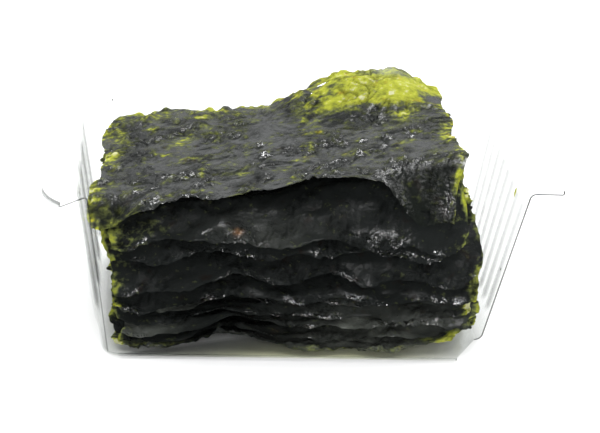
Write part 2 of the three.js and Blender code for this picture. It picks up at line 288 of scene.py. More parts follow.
# Thin, see-through patches: sheet, place, reach across and along, and strength
THIN_PATCHES = [
    (11, -43.5, 4.5, 3, 4.5, 0.95),
    (11, -42, 15, 5, 9, 0.55),
    (11, -46, -18, 4, 5, 0.5),
    (11, -41, -25, 5, 3, 0.42),
    (11, -34, 24, 9, 4.5, 0.5),
    (11, -18, 24, 8, 4, 0.48),
    (11, -5, 23, 6, 3.5, 0.48),
    (11, -26, 8, 6, 5, 0.42),
    (11, -20, 13, 9, 6, 0.36),
    (11, -25, -2, 8, 2.5, 0.38),
    (11, -34, 16.5, 2, 1.2, 0.6),
    (11, -12.5, 18, 4, 3, 0.46),
    (11, -26, 17, 5, 2.5, 0.38),
    (11, 5, 12, 2.5, 1.2, 0.55),
    (11, 22, -16, 2.5, 2, 0.4),
    (11, -17, -10, 5, 4, 0.42),
    (11, -22, 22, 3, 1.2, 0.8),
    (11, 35, -2, 3, 8, 0.6),
    (11, 32, -13, 4, 4, 0.4),
    (11, 29.5, -22, 2.5, 2.5, 0.42),
    (11, 26, 10, 6, 4.5, 0.62),
    (11, 4, 6, 4, 2.5, 0.42),
    # These two flecks pass full thinness and turn cream: painted highlights
    (11, 16.3, 16.6, 1.2, 0.8, 1.8),
    (11, 23.3, 17.2, 0.8, 0.6, 1.8),
    (10, -43, -24, 3, 6, 0.6),
    (10, -37, -26, 7, 4, 0.22),
    (8, -15, -27, 6, 1.5, 0.42),
    (8, 27, -26, 8, 3, 0.24),
    (6, -25, -26, 8, 2, 0.26),
    (6, 44, -25, 4, 5, 0.85),
    (5, 42, -25, 3, 5, 0.75),
    (7, 43, -22, 2.5, 6, 0.6),
    (0, 36, -26, 8, 4, 0.66),
    (0, 15, -27, 16, 1.5, 0.46),
    (0, -33, -26, 9, 3, 0.36),
]
PATCH_RAGGED = 0.8

# How thin the leaves are elsewhere: in strips along the sides, by reach and strength, and along the back
TOP_SIDES = {"pale": (12, 0.26), "olive": (4.5, 0.5), "yellow": (1.6, 0.25)}
LOWER_SIDES = {"pale": (7, 0.18), "olive": (2.8, 0.56), "yellow": (1.3, 0.3)}
STRIP_RAGGED = 1.5
YELLOW_FROM = -0.5
SHEETS_DIFFER = (0.9, 0.3)
STRIP_PATCHES = (0.75, 0.6)
BACK_FRINGE = 2
TOP_FRINGE = 6
FRINGE_FROM = -0.3
FRINGE_THIN = 0.6
TOP_FRINGE_THIN = (0.62, 0.84)
PATCHY_LAYERS = [(1, 6, 4), (0.6, 2.2, 1.4)]
PATCHY_GRAIN = (0.5, 0.9, 0.7)
MOTTLED_LAYERS = [(1, 5, 4), (0.7, 1.8, 1.2)]
MOTTLED_LIFT = 0.2
MOTTLED = 0.48
LOWER_MOTTLED = 0.05

# The top sheet's crest, bright with painted light that shines through it from behind: its slope, left half,
# flat back and dark right end, and the right fold, dark with painted shade
CREST_SLOPE = (11, 16)
CREST_SIDE = (-5, 4)
CREST_RAGGED = {"slope": 1.5, "side": 2, "back": 0.8}
CREST_LEFT_HALF = (2, 15)
CREST_BRIGHT = (0.55, 0.85)
CREST_PATCHES = (0.5, 0.16)
CREST_MOST = 0.88
CREST_TOP = (21.5, 23.5)
CREST_TOP_THIN = 0.6
CREST_TOP_FROM = (14, 20)
CREST_TOP_TO = (27, 31)
DARK_END = (34, 3, 17.5, 2.2)
FOLD_SHADE = 0.2
FOLD_EDGE = (1, 3.5)

# Painted sheen: greyer, paler patches on the crest and low at the front, for the bright table and sky they
# reflect: sheet, place, reach and strength
SHEEN_PATCHES = [
    (11, 22.5, 25.5, 5.5, 2.5, 1.0),
    (10, -8, -26, 12, 3, 0.1),
    (8, -36, -25, 6, 5, 0.16),
    (6, -36, -25, 6, 5, 0.25),
    (4, -34, -25, 11, 5, 0.34),
    (4, 20, -25, 24, 5, 0.06),
    (3, 22, -25, 22, 6, 0.12),
    (2, -36, -25, 8, 5, 0.3),
    (2, 13, -25, 4, 4, 0.6),
    (2, 20, -25, 22, 6, 0.2),
    (1, 20, -25, 22, 6, 0.25),
    (1, 19, -25, 4, 3, 0.5),
    (0, 15, -25, 20, 5, 0.45),
    (0, -36, -25, 9, 5, 0.2),
]

# A brown spot among the glints of the second sheet from the top, given in the same way
BROWNED = [(10, -14.4, -26.1, 0.9, 0.5, 1.0)]
PATCH_UNEVEN = (0.6, 4, 3)

# Holes: sheet, place, then half length and half width
HOLES = [
    (11, 7.3, 24.1, 1.4, 0.6),
    (11, 4.7, 21.9, 0.7, 0.4),
    (11, 27.6, -24.6, 0.9, 0.8),
]
HOLE_RAGGED = (0.5, 0.7, 0.5)

# Flakes that stick to the tray: place, size and how thin, on the right, left and back walls
FLAKES = [
    ("right", -13.5, 36, 2.2, 0.85),
    ("right", -19, 19, 0.6, 0.4),
    ("left", -25, 32, 0.9, 0.6),
    ("left", -6, 24, 0.5, 0.4),
    ("back", -43, 38, 0.6, 0.3),
    ("back", -44.2, 37.2, 0.45, 0.3),
]
FLAKE_SIDES = 9
FLAKE_THICKNESS = 0.15
FLAKE_NARROW = 0.5
FLAKE_UNEVEN = (0.7, 0.5)
FLAKE_FLAT_ANGLE = math.radians(40)

# Where each kind of noise starts its seeds, how many a sheet takes, and the line that edges follow in it
SEEDS = {
    "flakes": 3,
    "torn": 0,
    "torn_ends": 5,
    "tufts": 40,
    "holes": 77,
    "crumple": 90,
    "wrinkles": 100,
    "thin": 300,
    "creased": 500,
    "oil": 700,
    "patches": 800,
}
SEEDS_A_SHEET = 10
NOISE_LINES = {"bites": 0.3, "teeth": 0.6, "fuzz": 0.8, "oil": 0.4, "tufts": 0.5}
HASH_STEPS = (127.1, 311.7, 74.7)
HASH_SIZE = 43758.5453
NOISE_SIZE = 1.5

# Colours of the leaf, from thicker to thinner, and what changes them; the yellow-green and lime of thin leaf
# are partly its own colour and partly painted light shining through from behind
OLIVE = (0.032, 0.037, 0.016)
LIGHT_OLIVE = (0.11, 0.125, 0.032)
YELLOW_GREEN = (0.36, 0.39, 0.045)
LIME = (0.58, 0.61, 0.07)
# Cream at full thinness: a painted highlight
HIGHLIGHT_CREAM = (0.8, 0.8, 0.5)
TOASTED = (1.0, 0.76, 0.7)
# Painted shade in the furrows
FURROW_SHADE = (0.35, 0.35, 0.35)
# Grey of the painted sheen
SHEEN_GREY = (0.17, 0.18, 0.156)
BROWN = (0.24, 0.11, 0.04)
BLACK = (0, 0, 0)
WHITE = (1, 1, 1)

# The leaf's noises in waves a metre, their dents in metres, and how far each look of the leaf ranges
STREAKS = (650, 900, 700)
GRAIN = 1500.0
TOAST = 330.0
FACETS = 900.0
FOLD_DEPTH = 0.0008
DENT_DEPTH = 0.0012
NOISE_SPAN = (0.3, 0.7)
WHOLE = (0.0, 1.0)
UNEVEN_GREEN = 0.26
CALMER = [(0.5, 0.9), (1.0, 0.45)]
FOLDED = (0.2, 0.8)
GLITTER = (0.06, 1.0)
FILM_FROM = (0.45, 0.6)
GLOSS_FROM = (0.2, 0.8)
THIN_GLOSS = 1 / 8
FURROW_GLOSS = (1.0, 0.05)
ROUGH = (0.16, 0.32)
SEE_THROUGH = (0.0, 0.5)

# The light that the plastic and its cut edge let through, less where shade is painted, and its gloss from the
# front and from the side
CLEAR = (0.985, 0.99, 0.985)
SHADE_TINT = (0.9, 0.905, 0.9)
DEEP_SHADE_TINT = (0.42, 0.425, 0.42)
OILY = (0.98, 0.98, 0.89)
# Painted shade on the cut edge, from left to right and up at the flange
CUT_EDGE_SHADE = [(0.0, (0.6, 0.61, 0.6)), (0.6, (0.7, 0.71, 0.7)), (0.9, (0.22, 0.222, 0.22))]
CUT_EDGE_SPAN = (-0.05, 0.05)
CUT_EDGE_HIGH_SHADE = (0.5, 0.5, 0.5)
CUT_EDGE_RISE = (0.03, 0.04)
PLASTIC_GLOSS = (0.03, 0.3)
GLANCING = 5.0

# The floor under the part: half its size and how far below the part it lies, in metres
STAGE_REACH = 6.0
STAGE_DROP = 0.0002

# Camera, as the photo was taken
CAMERA_AT = (-42.7, -483.0, 229.1)
CAMERA_YAW = 5.25
CAMERA_PITCH = 23.09
CAMERA_ROLL = 3.27
SENSOR_WIDTH = 36
LENS = 134.05

# The sky's strength, from the horizon to straight above, and what the camera's side has of it
SKY = [(0.15, 0.25), (0.28, 0.7), (0.4, 1.55), (0.5, 1.9), (0.65, 1.3), (0.85, 0.5), (1.0, 0.4)]
SKY_TINT = (0.97, 0.985, 1)
CAMERA_SIDE = (-0.5, 0.1)
CAMERA_SIDE_SHARE = 0.25

# Lamps, in metres and watts: place, aim, size, power, and whether each only lights or only glints
ONLY_LIGHTS = {"reflects": False}
ONLY_GLINTS = {"shades": False}
LAMPS = [
    ("overhead", (0.0, 0.1, 0.9), (0, 0, 0), (2.0, 1.6), 22, ONLY_LIGHTS),
    ("lamp", (0.1, -0.45, 0.7), (0, 0, 0.02), (0.16, 0.16), 20, ONLY_GLINTS),
    ("side_lamp", (0.7, 0.25, 0.45), (0, 0, 0.03), (0.25, 0.25), 14, ONLY_GLINTS),
    ("front_fill", (-0.06, -0.8, 0.36), (0, 0, 0.01), (0.4, 0.3), 3.5, ONLY_LIGHTS),
]


def lerp(start, end, share):
    return start + (end - start) * share


def rising(value, span):
    """0 before the span, 1 after it, and a smooth step between."""
    share = np.clip((value - span[0]) / (span[1] - span[0]), 0, 1)
    return share * share * (3 - 2 * share)


def bump(value, centre, reach):
    return np.exp(-(((value - centre) / reach) ** 2))


def phase(sheet, kind):
    """A different phase for each sheet and each kind of wave."""
    return FULL_TURN * ((sheet * GOLDEN + WAVE_KINDS.index(kind) * KIND_STEP) % 1)


def hashed(column, row, seed):
    """A number from 0 to 1 for each point of a lattice, the same on each run."""
    by_column, by_row, by_seed = HASH_STEPS
    value = np.sin(column * by_column + row * by_row + seed * by_seed) * HASH_SIZE
    return value - np.floor(value)


def fade(share):
    """A step from 0 to 1 that starts and ends without a bend."""
    return share**3 * (share * (share * 6 - 15) + 10)


def noise(x, y, seed):
    """Smooth noise from about -1 to 1 with waves about a unit long."""
    column, row = np.floor(x), np.floor(y)
    across, along = x - column, y - row

    def corner(i, j):
        turn = FULL_TURN * hashed(column + i, row + j, seed)
        return np.cos(turn) * (across - i) + np.sin(turn) * (along - j)

    u, v = fade(across), fade(along)
    return NOISE_SIZE * lerp(lerp(corner(0, 0), corner(1, 0), u), lerp(corner(0, 1), corner(1, 1), u), v)


def layered(x, y, seed, layers):
    """A sum of noises, each given by its strength and its length across and along."""
    return sum(
        strength * noise(x / across, y / along, seed + number)
        for number, (strength, across, along) in enumerate(layers)
    )


def first_seed(kind, sheet):
    return SEEDS[kind] + SEEDS_A_SHEET * sheet


# Meshes


def new_piece(name, points, faces, material, flat_angle):
    """A mesh object from points in millimetres, shaded smooth apart from edges sharper than flat_angle."""
    mesh = bpy.data.meshes.new(name)
    mesh.from_pydata((np.asarray(points) * MM).tolist(), [], faces)
    mesh.polygons.foreach_set("use_smooth", [True] * len(mesh.polygons))
    mesh.set_sharp_from_angle(angle=flat_angle)
    mesh.materials.append(material)
    mesh.update()
    piece = bpy.data.objects.new(name, mesh)
    bpy.context.scene.collection.objects.link(piece)
    return piece


def set_values(piece, name, values):
    """Gives each point of a mesh a number that its material can read."""
    attribute = piece.data.attributes.new(name, "FLOAT", "POINT")
    attribute.data.foreach_set("value", np.asarray(values, dtype=np.float32))


def grid_faces(columns, rows, keep=None):
    """Faces of a grid of points that is stored row by row, without the cells that keep leaves out."""
    stride = columns + 1
    corner = np.arange(columns)[None, :] + stride * np.arange(rows)[:, None]
    faces = np.stack([corner, corner + 1, corner + stride + 1, corner + stride], axis=-1)
    return faces[keep] if keep is not None else faces.reshape(-1, 4)


def thicken(count, faces):
    """Closes a surface and its copy, whose points follow the first count points, into one thin solid."""
    open_edges = {}
    for face in faces:
        for start, end in zip(face, face[1:] + face[:1]):
            if open_edges.pop((end, start), None) is None:
                open_edges[start, end] = True
    back = [[count + point for point in reversed(face)] for face in faces]
    rim = [[end, start, count + start, count + end] for start, end in open_edges]
    return faces + back + rim


# The clear tray


def wall_profile():
    """The wall's outer face from the floor to the lip: steps outwards, steps up and the ribs' strength."""
    lean = math.atan2(WALL_SPREAD, TRAY_HEIGHT)
    inset = math.tan((QUARTER_TURN - lean) / 2)
    steps = []
    for turn in np.linspace(-QUARTER_TURN, -lean, FLOOR_FILLET_STEPS + 1):
        out = FLOOR_FILLET * (math.cos(turn) - inset)
        steps.append((out, FLOOR_FILLET * (1 + math.sin(turn)), 0))
    for up in np.linspace(RIB_FOOT, RIB_HEAD, WALL_STEPS + 1):
        rib = rising(up, (RIB_FOOT, RIB_FOOT + RIB_FADE)) * (1 - rising(up, (RIB_HEAD - RIB_FADE, RIB_HEAD)))
        steps.append((up * math.tan(lean), up, rib))
    rim_centre = WALL_SPREAD + RIM_FILLET * inset
    for turn in np.linspace(math.pi - lean, QUARTER_TURN, RIM_FILLET_STEPS + 1):
        out = rim_centre + RIM_FILLET * math.cos(turn)
        steps.append((out, TRAY_HEIGHT - RIM_FILLET * (1 - math.sin(turn)), 0))
    flange = WALL_SPREAD + FLANGE_WIDTH
    for turn in np.linspace(-QUARTER_TURN, 0, LIP_FILLET_STEPS + 1):
        out = flange - LIP_FILLET * (1 - math.cos(turn))
        steps.append((out, TRAY_HEIGHT + LIP_FILLET * (1 + math.sin(turn)), 0))
    steps.append((flange, TRAY_HEIGHT + LIP_HEIGHT, 0))
    return np.array(steps)


def inner_profile(steps):
    """The same profile on the plastic's inner face, moved along the mean normal of each step's two sides."""
    plan = np.vstack([steps[0, :2] - (1, 0), steps[:, :2], steps[-1, :2] + (0, 1)])
    sides = np.diff(plan, axis=0)
    normals = np.stack([-sides[:, 1], sides[:, 0]], axis=1)
    normals /= np.linalg.norm(normals, axis=1, keepdims=True)
    mean = normals[:-1] + normals[1:]
    mean /= np.linalg.norm(mean, axis=1, keepdims=True)
    reach = PLASTIC / np.sum(mean * normals[:-1], axis=1, keepdims=True)
    inner = steps.copy()
    inner[:, :2] += mean * reach
    return inner


def rib_shape(along, ribs):
    step = (along * ribs) % 1
    return rising(min(step, 1 - step), (0, RIB_SLOPE))


def plastic_shade(side, along, step):
    """How much painted shade the clear plastic takes: stripes along the ribs for the lines their flanks show,
    a little by the floor, a painted shadow along the front, and the lip's left corner.
    """
    low = FOOT_SHADE * (1 - rising(step[1], (FLOOR_FILLET, RIB_FOOT + RIB_FADE)))
    if side == "front":
        return low + FRONT_SHADOW * (1 - rising(along, FRONT_SHADOW_FADE))
    if side == "front_left" and step[1] > TRAY_HEIGHT:
        return LIP_SHADE
    if side not in STRIPES:
        return low
    place = (along * STRIPES[side]) % 1
    if side == "left":
        place = 1 - place
    stripe = rising(place, STRIPE[side][:2]) * (1 - rising(place, STRIPE[side][2:]))
    faded = lerp(1, STRIPE_FADED[side], rising(step[1], STRIPE_FADE))
    return max(low, STRIPE_SHADE[side] * stripe * step[2] * faded)


def tray_point(side, along, step):
    """A point of the tray, at one station of its plan and one step of its profile."""
    out, up, rib = step
    radius = CORNER_AT_FLOOR + CORNER_GROWTH * out
    half_x = FLOOR_WIDTH / 2 + out - radius
    half_y = FLOOR_DEPTH / 2 + out - radius
    ribs = BACK_RIBS if side == "back" else SIDE_RIBS
    wall = radius + RIB_DEPTH * rib * rib_shape(along, ribs)

    def corner(x, y, start):
        turn = start + along * QUARTER_TURN
        return x + radius * math.cos(turn), y + radius * math.sin(turn), up

    if side == "right":
        cut = max(RIGHT_CUT_AT_FLOOR + RIGHT_CUT_LEAN * up, -half_y)
        return half_x + wall, lerp(cut, half_y, along), up
    if side == "back_right":
        return corner(half_x, half_y, 0)
    if side == "back":
        return lerp(half_x, -half_x, along), half_y + wall, up
    if side == "back_left":
        return corner(-half_x, half_y, QUARTER_TURN)
    if side == "left":
        return -half_x - wall, lerp(half_y, -half_y, along), up
    if side == "front_left":
        return corner(-half_x, -half_y, math.pi)
    return lerp(-half_x, FRONT_CUT_END, along), -half_y - radius, up


def stations(side, steps, start=0.0, end=1.0):
    """Stations along one side of the plan, without the last, which starts the next side."""
    return [(side, along) for along in np.linspace(start, end, steps, endpoint=False)]


def make_tray(material, edge_material):
    """One thin shell: the walls up to the flange, a low lip along the front, and the floor."""
    outer_steps = wall_profile()
    inner_steps = inner_profile(outer_steps)
    wall = (
        stations("right", RIB_STEPS * SIDE_RIBS)
        + stations("back_right", CORNER_STEPS)
        + stations("back", RIB_STEPS * BACK_RIBS)
        + stations("back_left", CORNER_STEPS)
        + stations("left", RIB_STEPS * SIDE_RIBS)
        + stations("front_left", CORNER_STEPS // 2, 0, LEFT_CUT)
        + [("front_left", LEFT_CUT)]
    )
    front = (
        stations("front_left", CORNER_STEPS // 2, LEFT_CUT, 1)[1:]
        + stations("front", FRONT_STEPS)
        + [("front", 1.0)]
    )
    rows = len(outer_steps) - 1
    lip_rows = int(np.sum(outer_steps[:, 1] < FRONT_LIP_HEIGHT))
    lines = [(row, wall) for row in range(rows + 1)] + [(row, front) for row in range(lip_rows + 1)]
    places = [(row, station) for row, line in lines for station in line]
    outside = [tray_point(*station, outer_steps[row]) for row, station in places]
    inside = [tray_point(*station, inner_steps[row]) for row, station in places]
    faces = grid_faces(len(wall) - 1, rows).tolist()

    # The front lip starts at the wall's last station, so its column -1 is that one
    first_front = len(wall) * (rows + 1)

    def lip_point(column, row):
        if column < 0:
            return len(wall) - 1 + row * len(wall)
        return first_front + column + row * len(front)

    for row in range(lip_rows):
        for column in range(-1, len(front) - 1):
            low = [lip_point(column, row), lip_point(column + 1, row)]
            faces.append(low + [lip_point(column + 1, row + 1), lip_point(column, row + 1)])

    # The floor fills the lowest row; its right front corner is cut off straight
    floor_loop = list(range(len(wall))) + [lip_point(column, 0) for column in range(len(front))]
    faces.append(floor_loop[::-1])
    points = np.array(outside + inside)
    points[:, 1] += tray_shift()
    solid = thicken(len(outside), faces)
    piece = new_piece("clear_tray", points, solid, material, TRAY_FLAT_ANGLE)
    piece.data.materials.append(edge_material)
    level = [row for row, station in places]
    for face in piece.data.polygons[2 * len(faces):]:
        face.material_index = int(level[face.vertices[0]] != level[face.vertices[1]])
    # Painted shade and shadow for each point of the plastic
    painted_shade = [plastic_shade(*station, outer_steps[row]) for row, station in places]
    lowest = np.array(level * 2) == 0
    oil = rising(points[:, 0], OILY_FLOOR[:2]) * (1 - rising(points[:, 0], OILY_FLOOR[2:]))
    set_values(piece, "painted_shade", painted_shade * 2)
    set_values(piece, "oily", lowest * oil)
    return piece


def tray_shift():
    """How far the tray's middle lies in front of its floor's middle, read off the frame."""
    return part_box("tray")[1].y / MM - (FLOOR_DEPTH / 2 + WALL_SPREAD + FLANGE_WIDTH)


# The seaweed sheets


def rows_of(table, sheet):
    """What a table of places says about one sheet."""
    return [place for number, *place in table if number == sheet]


def top_height(x, y):
    """Top of the pile: higher on the right, with the wave's crest at the back right."""
    crest = rising(x, CREST_LEFT) * (1 - rising(x, CREST_RIGHT)) * rising(y, CREST_BACK)
    back_left = rising(y, BACK_LEFT_DEPTH) * (1 - rising(x, BACK_LEFT_REACH))
    return STACK_HEIGHT + STACK_SLOPE * x + CREST_HEIGHT * crest + BACK_LEFT_RISE * back_left


def bed_height(x):
    return BED_HEIGHT + BED_EDGE_RISE * rising(-x, BED_EDGE) + BED_RIGHT_RISE * rising(x, BED_RIGHT)


def share_below(sheet, parts):
    """The part of a height that lies under a sheet, from the uneven part that each sheet takes."""
    return sum(parts[:sheet]) / sum(parts)


def front_part(k, x):
    """What a sheet takes of the front's height: little for the upper sheet of each pair."""
    wave = FRONT_WAVE_SHARE * np.sin(FULL_TURN * x / FRONT_WAVE_LENGTH + phase(k, "front"))
    pairing = FRONT_PAIRING if k % 2 == 0 else -FRONT_PAIRING
    return 1 + (pairing if k > 1 else 0) + wave


def front_height(sheet, x):
    """Height of a sheet's front edge."""
    if sheet == TOP:
        ripple = TOP_EDGE_RIPPLE * np.sin(FULL_TURN * x / TOP_EDGE_RIPPLE_LENGTH)
        droop = TOP_CORNER_DROOP * rising(-x, TOP_CORNER) + TOP_RIGHT_DROOP * rising(x, TOP_RIGHT_CORNER)
        rise = TOP_EDGE_RISE * bump(x, TOP_EDGE_RISE_AT, TOP_EDGE_RISE_REACH)
        return top_height(x, -FRONT_EDGE) - TOP_EDGE_SAG + rise + ripple - droop
    lift = FRONT_LIFT * bump(x, FRONT_LIFT_AT, FRONT_LIFT_REACH)
    ends = FRONT_RIGHT_LIFT * rising(x, FRONT_RIGHT_FROM) + FRONT_LEFT_LIFT * rising(-x, BED_EDGE)
    ripple = FLAP_RIPPLE * np.sin(FULL_TURN * x / FLAP_RIPPLE_LENGTH)
    dips = FLAP_DIP * bump(x, FLAP_DIP_AT, FLAP_DIP_REACH) + FLAP_LEFT_DROOP * rising(-x, FLAP_LEFT_FROM)
    high = FLAP_EDGE + ripple - dips
    share = share_below(sheet, [front_part(k, x) for k in range(1, TOP)])
    crowding = FRONT_CROWDING * rising(-x, FRONT_CROWDED) + RIGHT_CROWDING * rising(x, RIGHT_CROWDED)
    return lerp(FRONT_BED + lift + ends, high, share ** (1 + crowding))


def sheet_height(sheet, x, y):
    """Middle of a sheet's thickness above any point of the plan."""

    def part(k):
        across = np.sin(FULL_TURN * x / WAVE_LENGTH_X + phase(k, "across"))
        return 1 + WAVE_SHARE * across * np.cos(FULL_TURN * y / WAVE_LENGTH_Y + phase(k, "along"))

    share = share_below(sheet, [part(k) for k in range(1, TOP + 1)])
    lying = lerp(bed_height(x), top_height(x, y), share)
    return lerp(lying, front_height(sheet, x), rising(-y, BEND) / rising(FRONT_EDGE, BEND))


def torn(along, seed):
    """How far a torn edge stands out at each place along it."""
    bites = BITES[0] * (noise(along / BITES[1], NOISE_LINES["bites"], seed) - INWARDS)
    teeth = TEETH[0] * (np.abs(noise(along / TEETH[1], NOISE_LINES["teeth"], seed + 1)) - TEETH_INWARDS)
    return bites + teeth + FUZZ[0] * noise(along / FUZZ[1], NOISE_LINES["fuzz"], seed + 2)


def sheet_plan(sheet, p, q):
    """Where a sheet's points lie in plan, for p and q from -1 to 1 across and along the sheet."""
    upper = rising(sheet / TOP, UPPER_FROM)
    is_top = sheet == TOP
    width = TOP_WIDTH if is_top else lerp(SHEET_WIDTH, UPPER_WIDTH, rising(sheet / TOP, NARROW_FROM))
    spread = SIDE_SPREAD * math.sin(phase(sheet, "shift"))
    shift = TOP_SHIFT if is_top else lerp(LOWER_SHIFT, UPPER_SHIFT, upper) + spread
    slide = TOP_SLIDE if is_top else SLIDE_MEAN + SLIDE_SPREAD * math.sin(phase(sheet, "slide"))
    turn = TURN_SPREAD * math.sin(phase(sheet, "turn"))
    side_wave = EDGE_WAVE * np.sin(SIDE_WAVES * q + phase(sheet, "side")) * p**EDGE_POWER
    end_wave = EDGE_WAVE * np.sin(END_WAVES * p + phase(sheet, "end")) * q**EDGE_POWER
    rounded = 1 - CORNER_ROUND * (p * q) ** CORNER_POWER
    if is_top:
        rounded = rounded - BACK_LEFT_ROUND * np.maximum(-p * q, 0) ** BACK_LEFT_POWER * (q > 0)
    recess = FRONT_RECESS * sheet / TOP * (q < 0) if sheet % 2 == 0 and sheet < TOP - 1 else 0
    y = (SHEET_DEPTH / 2 - recess) * q * rounded + end_wave
    if is_top:
        step = LEFT_STEP * rising(y, LEFT_STEP_AT) * (p < 0) + LOBE[0] * bump(y, *LOBE[1:]) * (p > 0)
    else:
        step = RIGHT_FLARES[sheet] * rising(-q, RIGHT_FLARE_FROM) * (p > 0)
    x = width / 2 * p * rounded + side_wave + step * p**EDGE_POWER
    torn_side = torn(y + np.sign(p) * SHEET_DEPTH, first_seed("torn", sheet))
    torn_side = torn_side * rising(np.abs(p), (TORN_BAND, 1))
    if is_top:
        torn_side = torn_side * np.where(p < 0, TORN_LEFT, TORN_RIGHT)
    torn_end = TORN_FRONT * torn(x + np.sign(q) * width, first_seed("torn_ends", sheet))
    torn_end = torn_end * rising(np.abs(q), (TORN_BAND, 1))
    x = x + np.sign(p) * torn_side
    y = y + np.sign(q) * torn_end
    return x - turn * y + shift, y + turn * x + slide


def crumpled(sheet, x, y):
    """How crumpled and oily a sheet is at each place, from 0 to 1."""
    most = np.zeros_like(x)
    for at_x, at_y, reach_x, reach_y in rows_of(CRUMPLED, sheet):
        most = np.maximum(most, bump(x, at_x, reach_x) * bump(y, at_y, reach_y))
    return most


def oily_edge(sheet, q, x):
    """How oily the torn front edge is: in stretches along the last millimetre or two."""
    stretches = rising(noise(x / EDGE_OIL_LENGTH, NOISE_LINES["oil"], SEEDS["oil"] + sheet), EDGE_OIL_FROM)
    return stretches * (1 - rising((1 + q) * SHEET_DEPTH / 2, EDGE_OIL_FADE))


def creased(sheet, x, y):
    """How creased a sheet is at each place: 0 where it is calm, 1 where it is full of creases."""
    uneven = layered(x, y, first_seed("creased", sheet), CREASED_LAYERS)
    return np.maximum(rising(uneven, CREASED_FROM), crumpled(sheet, x, y))


def wrinkles(sheet, x, y):
    """The leaf's wrinkles, mostly from side to side: broad ones, fine ones, and furrows from 0 to 1."""
    seed = first_seed("wrinkles", sheet)
    slanted = math.cos(SLANT) * x + math.sin(SLANT) * y
    upright = math.cos(SLANT) * y - math.sin(SLANT) * x
    across = slanted + WARP[0] * noise(x / WARP[1], y / WARP[1], seed)
    along = upright + WARP[0] * noise(x / WARP[1], y / WARP[1], seed + 1)

    def layer(kind, number):
        return noise(across / kind[1], along / kind[2], seed + number)

    def furrow(kind, number):
        return np.exp(-((layer(kind, number) / FURROW) ** 2))

    rough = creased(sheet, x, y)
    broad = LONG_WRINKLES[0] * layer(LONG_WRINKLES, 2)
    fine = RIDGES[0] * np.abs(layer(RIDGES, 3)) + CRINKLES[0] * np.abs(layer(CRINKLES, 4))
    fine = (fine + CREASES[0] * layer(CREASES, 5)) * lerp(CALM, 1, rough) * (1 + crumpled(sheet, x, y))
    furrows = np.maximum(furrow(RIDGES, 3), FINE_FURROWS * furrow(CRINKLES, 4)) * lerp(CALM_FURROWS, 1, rough)
    if sheet != TOP:
        slide = CRUMPLE_STEP * sheet
        crumple = noise(x / FRONT_CRUMPLE[1] + slide, y / FRONT_CRUMPLE[2] + slide, SEEDS["crumple"])
        broad = broad + FRONT_CRUMPLE[0] * rising(-y, FRONT_CRUMPLE_FROM) * crumple
    return broad, fine, furrows


def tufty(x):
    """Where along the back edge tufts stand up, from 0 to 1."""
    return np.minimum(sum(bump(x, at, reach) for at, reach in TUFTED), 1)


def thin_sides(sheet, side, patchy):
    """How thin the strips along a leaf's sides are, given the distance from the side."""
    strips = TOP_SIDES if sheet == TOP else LOWER_SIDES
    (pale_reach, pale), (olive_reach, olive), (yellow_reach, yellow) = strips.values()
    ragged = side - STRIP_RAGGED * patchy
    olive = olive * (1 - rising(ragged, (0, olive_reach)))
    yellow = yellow * (1 - rising(ragged, (YELLOW_FROM, yellow_reach)))
    strength = SHEETS_DIFFER[0] + SHEETS_DIFFER[1] * math.sin(phase(sheet, "thin"))
    thin = (olive + yellow) * strength * (STRIP_PATCHES[0] + STRIP_PATCHES[1] * patchy)
    return np.maximum(thin, pale * (1 + patchy) * (1 - rising(side, (0, pale_reach))))


def add_crest(thin, x, y, smooth, patchy):
    """The top sheet's thinness with its crest, bright with painted light from behind, whose right end is
    dark.
    """
    to_right = rising(x, CREST_LEFT_HALF)
    uneven = lerp(CREST_PATCHES[0] * patchy, CREST_PATCHES[1] * smooth, to_right)
    bright = lerp(*CREST_BRIGHT, to_right) + uneven
    slope = rising(y - CREST_RAGGED["slope"] * patchy, CREST_SLOPE)
    slope = slope * rising(x - CREST_RAGGED["side"] * patchy, CREST_SIDE)
    along_back = rising(x, CREST_TOP_FROM) * (1 - rising(x, CREST_TOP_TO))
    flat_back = rising(y - CREST_RAGGED["back"] * smooth, CREST_TOP) * along_back
    thin = np.maximum(thin, np.minimum(bright, CREST_MOST) * slope)
    thin = lerp(thin, CREST_TOP_THIN, flat_back)
    return thin * (1 - bump(x, *DARK_END[:2]) * bump(y, *DARK_END[2:]))


def thinness(sheet, p, q, x, y):
    """How thin and see-through the leaf is, from 0 to 1: most at its sides and on the top sheet's crest,
    whose colour is partly painted light shining through.
    """
    seed = first_seed("thin", sheet)
    smooth = layered(x, y, seed, PATCHY_LAYERS)
    strength, across, along = PATCHY_GRAIN
    patchy = smooth + strength * noise(x / across, y / along, seed + 4)
    side = (1 - np.abs(p)) * SHEET_WIDTH / 2
    thin = thin_sides(sheet, side, patchy)
    back = (1 - q) * SHEET_DEPTH / 2
    fringe = TOP_FRINGE if sheet == TOP else BACK_FRINGE
    fringed = lerp(*TOP_FRINGE_THIN, tufty(x)) if sheet == TOP else FRINGE_THIN
    thin = np.maximum(thin, fringed * (1 - rising(back - fringe * patchy, (FRINGE_FROM, fringe))))
    if sheet == TOP:
        thin = add_crest(thin, x, y, smooth, patchy)
    mottled = layered(x, y, seed + 2, MOTTLED_LAYERS) + MOTTLED_LIFT
    thin = np.maximum(thin, (MOTTLED if sheet == TOP else LOWER_MOTTLED) * mottled)
    for at_x, at_y, reach_x, reach_y, strength in rows_of(THIN_PATCHES, sheet):
        patch = strength * bump(x, at_x, reach_x) * bump(y, at_y, reach_y)
        thin = np.maximum(thin, patch * (1 + PATCH_RAGGED * patchy))
    if sheet == TOP:
        # Painted shade where the top sheet's right side bends down, out of the light from behind
        fold = np.where(x > 0, (1 - sheen(sheet, x, y)) * rising(side, FOLD_EDGE), 0)
        thin = thin * lerp(1, FOLD_SHADE, fold)
    return np.clip(thin, 0, 1)


